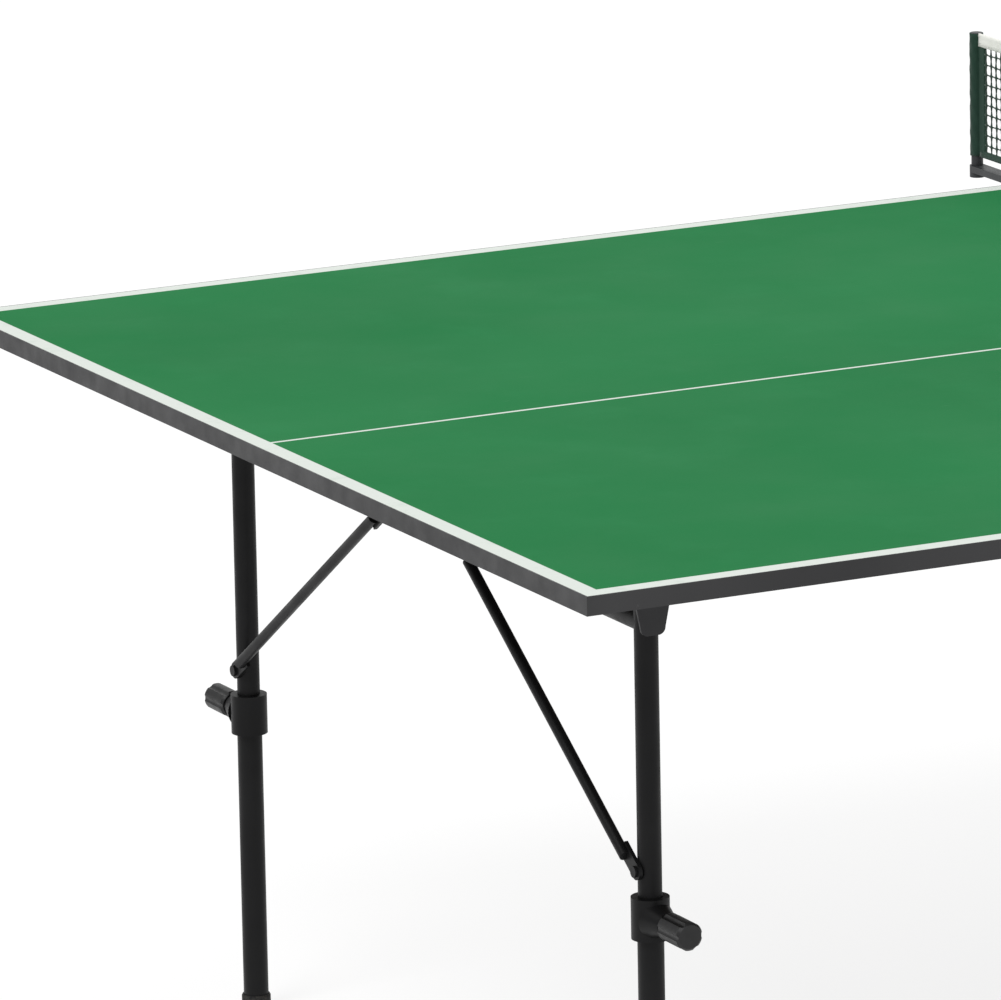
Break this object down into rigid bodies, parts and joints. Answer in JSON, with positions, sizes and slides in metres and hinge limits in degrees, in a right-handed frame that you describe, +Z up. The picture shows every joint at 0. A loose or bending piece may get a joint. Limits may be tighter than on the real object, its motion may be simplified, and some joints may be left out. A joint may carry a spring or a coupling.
{
  "type": "folding table tennis table",
  "caption": "Full-size green table tennis table in separable halves, with white lines, a clamped net and braced tube legs that fold flat and extend.",
  "frame": {"origin": "on the floor, under the middle of the net line", "axes": "+X along the table's length, +Y across it, +Z up"},
  "size_m": [2.74, 1.834, 0.9125],
  "materials": {
    "painted_board": "satin green paint on board, with white lines",
    "edge_band": "satin dark grey edge band",
    "rail_steel": "black powder coat",
    "bracket_steel": "black powder coat",
    "leg_steel": "black powder coat, fine texture",
    "brace_steel": "black powder coat",
    "post_steel": "black powder coat",
    "zinc_fasteners": "zinc plated",
    "foot_rubber": "matte black rubber",
    "knob_plastic": "moulded black plastic",
    "net_mesh": "knotted dark mesh with a white tape along the top"
  },
  "bodies": {
    "left_half": {"left_board": "painted_board", "left_edge_band": "edge_band", "left_cross_rails": "rail_steel", "left_hinge_brackets": "bracket_steel", "left_hinge_fasteners": "zinc_fasteners", "net": "net_mesh", "near_net_post": "post_steel", "far_net_post": "post_steel", "joining_sockets": "rail_steel"},
    "right_half": {"right_board": "painted_board", "right_edge_band": "edge_band", "right_cross_rails": "rail_steel", "right_hinge_brackets": "bracket_steel", "right_hinge_fasteners": "zinc_fasteners", "joining_dowels": "zinc_fasteners"},
    "near_clamp_screw": {"near_clamp_screw": "zinc_fasteners"},
    "far_clamp_screw": {"far_clamp_screw": "zinc_fasteners"},
    "left_end_frame": {"left_end_cross_tube": "leg_steel", "left_end_braces": "brace_steel", "left_end_near_upper_leg": "leg_steel", "left_end_far_upper_leg": "leg_steel"},
    "left_end_near_extension": {"left_end_near_lower_leg": "leg_steel", "left_end_near_foot": "foot_rubber"},
    "left_end_near_knob": {"left_end_near_knob": "knob_plastic"},
    "left_end_far_extension": {"left_end_far_lower_leg": "leg_steel", "left_end_far_foot": "foot_rubber"},
    "left_end_far_knob": {"left_end_far_knob": "knob_plastic"},
    "left_net_frame": {"left_net_cross_tube": "leg_steel", "left_net_braces": "brace_steel", "left_net_near_upper_leg": "leg_steel", "left_net_far_upper_leg": "leg_steel"},
    "left_net_near_extension": {"left_net_near_lower_leg": "leg_steel", "left_net_near_foot": "foot_rubber"},
    "left_net_near_knob": {"left_net_near_knob": "knob_plastic"},
    "left_net_far_extension": {"left_net_far_lower_leg": "leg_steel", "left_net_far_foot": "foot_rubber"},
    "left_net_far_knob": {"left_net_far_knob": "knob_plastic"},
    "right_end_frame": {"right_end_cross_tube": "leg_steel", "right_end_braces": "brace_steel", "right_end_near_upper_leg": "leg_steel", "right_end_far_upper_leg": "leg_steel"},
    "right_end_near_extension": {"right_end_near_lower_leg": "leg_steel", "right_end_near_foot": "foot_rubber"},
    "right_end_near_knob": {"right_end_near_knob": "knob_plastic"},
    "right_end_far_extension": {"right_end_far_lower_leg": "leg_steel", "right_end_far_foot": "foot_rubber"},
    "right_end_far_knob": {"right_end_far_knob": "knob_plastic"},
    "right_net_frame": {"right_net_cross_tube": "leg_steel", "right_net_braces": "brace_steel", "right_net_near_upper_leg": "leg_steel", "right_net_far_upper_leg": "leg_steel"},
    "right_net_near_extension": {"right_net_near_lower_leg": "leg_steel", "right_net_near_foot": "foot_rubber"},
    "right_net_near_knob": {"right_net_near_knob": "knob_plastic"},
    "right_net_far_extension": {"right_net_far_lower_leg": "leg_steel", "right_net_far_foot": "foot_rubber"},
    "right_net_far_knob": {"right_net_far_knob": "knob_plastic"}
  },
  "joints": [
    {"name": "half_separation", "type": "slide", "parent": "left_half", "child": "right_half", "axis": [1, 0, 0], "range_m": [0, 0.3]},
    {"name": "left_end_fold", "type": "hinge", "parent": "left_half", "child": "left_end_frame", "pos_m": [-1.16, 0, 0.7], "axis": [0, -1, 0], "range_deg": [0, 90]},
    {"name": "left_end_near_extend", "type": "slide", "parent": "left_end_frame", "child": "left_end_near_extension", "axis": [0, 0, -1], "range_m": [0, 0.06]},
    {"name": "left_end_near_clamp_turn", "type": "hinge", "parent": "left_end_near_extension", "child": "left_end_near_knob", "pos_m": [-1.16, -0.5385, 0.338], "axis": [0, -1, 0], "range_deg": [0, 360]},
    {"name": "left_end_far_extend", "type": "slide", "parent": "left_end_frame", "child": "left_end_far_extension", "axis": [0, 0, -1], "range_m": [0, 0.06]},
    {"name": "left_end_far_clamp_turn", "type": "hinge", "parent": "left_end_far_extension", "child": "left_end_far_knob", "pos_m": [-1.16, 0.5385, 0.338], "axis": [0, 1, 0], "range_deg": [0, 360]},
    {"name": "left_net_fold", "type": "hinge", "parent": "left_half", "child": "left_net_frame", "pos_m": [-0.05, 0, 0.7], "axis": [0, 1, 0], "range_deg": [0, 90]},
    {"name": "left_net_near_extend", "type": "slide", "parent": "left_net_frame", "child": "left_net_near_extension", "axis": [0, 0, -1], "range_m": [0, 0.06]},
    {"name": "left_net_near_clamp_turn", "type": "hinge", "parent": "left_net_near_extension", "child": "left_net_near_knob", "pos_m": [-0.05, -0.425, 0.338], "axis": [0, -1, 0], "range_deg": [0, 360]},
    {"name": "left_net_far_extend", "type": "slide", "parent": "left_net_frame", "child": "left_net_far_extension", "axis": [0, 0, -1], "range_m": [0, 0.06]},
    {"name": "left_net_far_clamp_turn", "type": "hinge", "parent": "left_net_far_extension", "child": "left_net_far_knob", "pos_m": [-0.05, 0.425, 0.338], "axis": [0, 1, 0], "range_deg": [0, 360]},
    {"name": "right_end_fold", "type": "hinge", "parent": "right_half", "child": "right_end_frame", "pos_m": [1.16, 0, 0.7], "axis": [0, 1, 0], "range_deg": [0, 90]},
    {"name": "right_end_near_extend", "type": "slide", "parent": "right_end_frame", "child": "right_end_near_extension", "axis": [0, 0, -1], "range_m": [0, 0.06]},
    {"name": "right_end_near_clamp_turn", "type": "hinge", "parent": "right_end_near_extension", "child": "right_end_near_knob", "pos_m": [1.16, -0.5385, 0.338], "axis": [0, -1, 0], "range_deg": [0, 360]},
    {"name": "right_end_far_extend", "type": "slide", "parent": "right_end_frame", "child": "right_end_far_extension", "axis": [0, 0, -1], "range_m": [0, 0.06]},
    {"name": "right_end_far_clamp_turn", "type": "hinge", "parent": "right_end_far_extension", "child": "right_end_far_knob", "pos_m": [1.16, 0.5385, 0.338], "axis": [0, 1, 0], "range_deg": [0, 360]},
    {"name": "right_net_fold", "type": "hinge", "parent": "right_half", "child": "right_net_frame", "pos_m": [0.05, 0, 0.7], "axis": [0, -1, 0], "range_deg": [0, 90]},
    {"name": "right_net_near_extend", "type": "slide", "parent": "right_net_frame", "child": "right_net_near_extension", "axis": [0, 0, -1], "range_m": [0, 0.06]},
    {"name": "right_net_near_clamp_turn", "type": "hinge", "parent": "right_net_near_extension", "child": "right_net_near_knob", "pos_m": [0.05, -0.425, 0.338], "axis": [0, -1, 0], "range_deg": [0, 360]},
    {"name": "right_net_far_extend", "type": "slide", "parent": "right_net_frame", "child": "right_net_far_extension", "axis": [0, 0, -1], "range_m": [0, 0.06]},
    {"name": "right_net_far_clamp_turn", "type": "hinge", "parent": "right_net_far_extension", "child": "right_net_far_knob", "pos_m": [0.05, 0.425, 0.338], "axis": [0, 1, 0], "range_deg": [0, 360]},
    {"name": "near_clamp_screw_turn", "type": "hinge", "parent": "left_half", "child": "near_clamp_screw", "pos_m": [0, -0.7445, 0.7], "axis": [0, 0, 1], "range_deg": [0, 360]},
    {"name": "far_clamp_screw_turn", "type": "hinge", "parent": "left_half", "child": "far_clamp_screw", "pos_m": [0, 0.7445, 0.7], "axis": [0, 0, 1], "range_deg": [0, 360]}
  ]
}
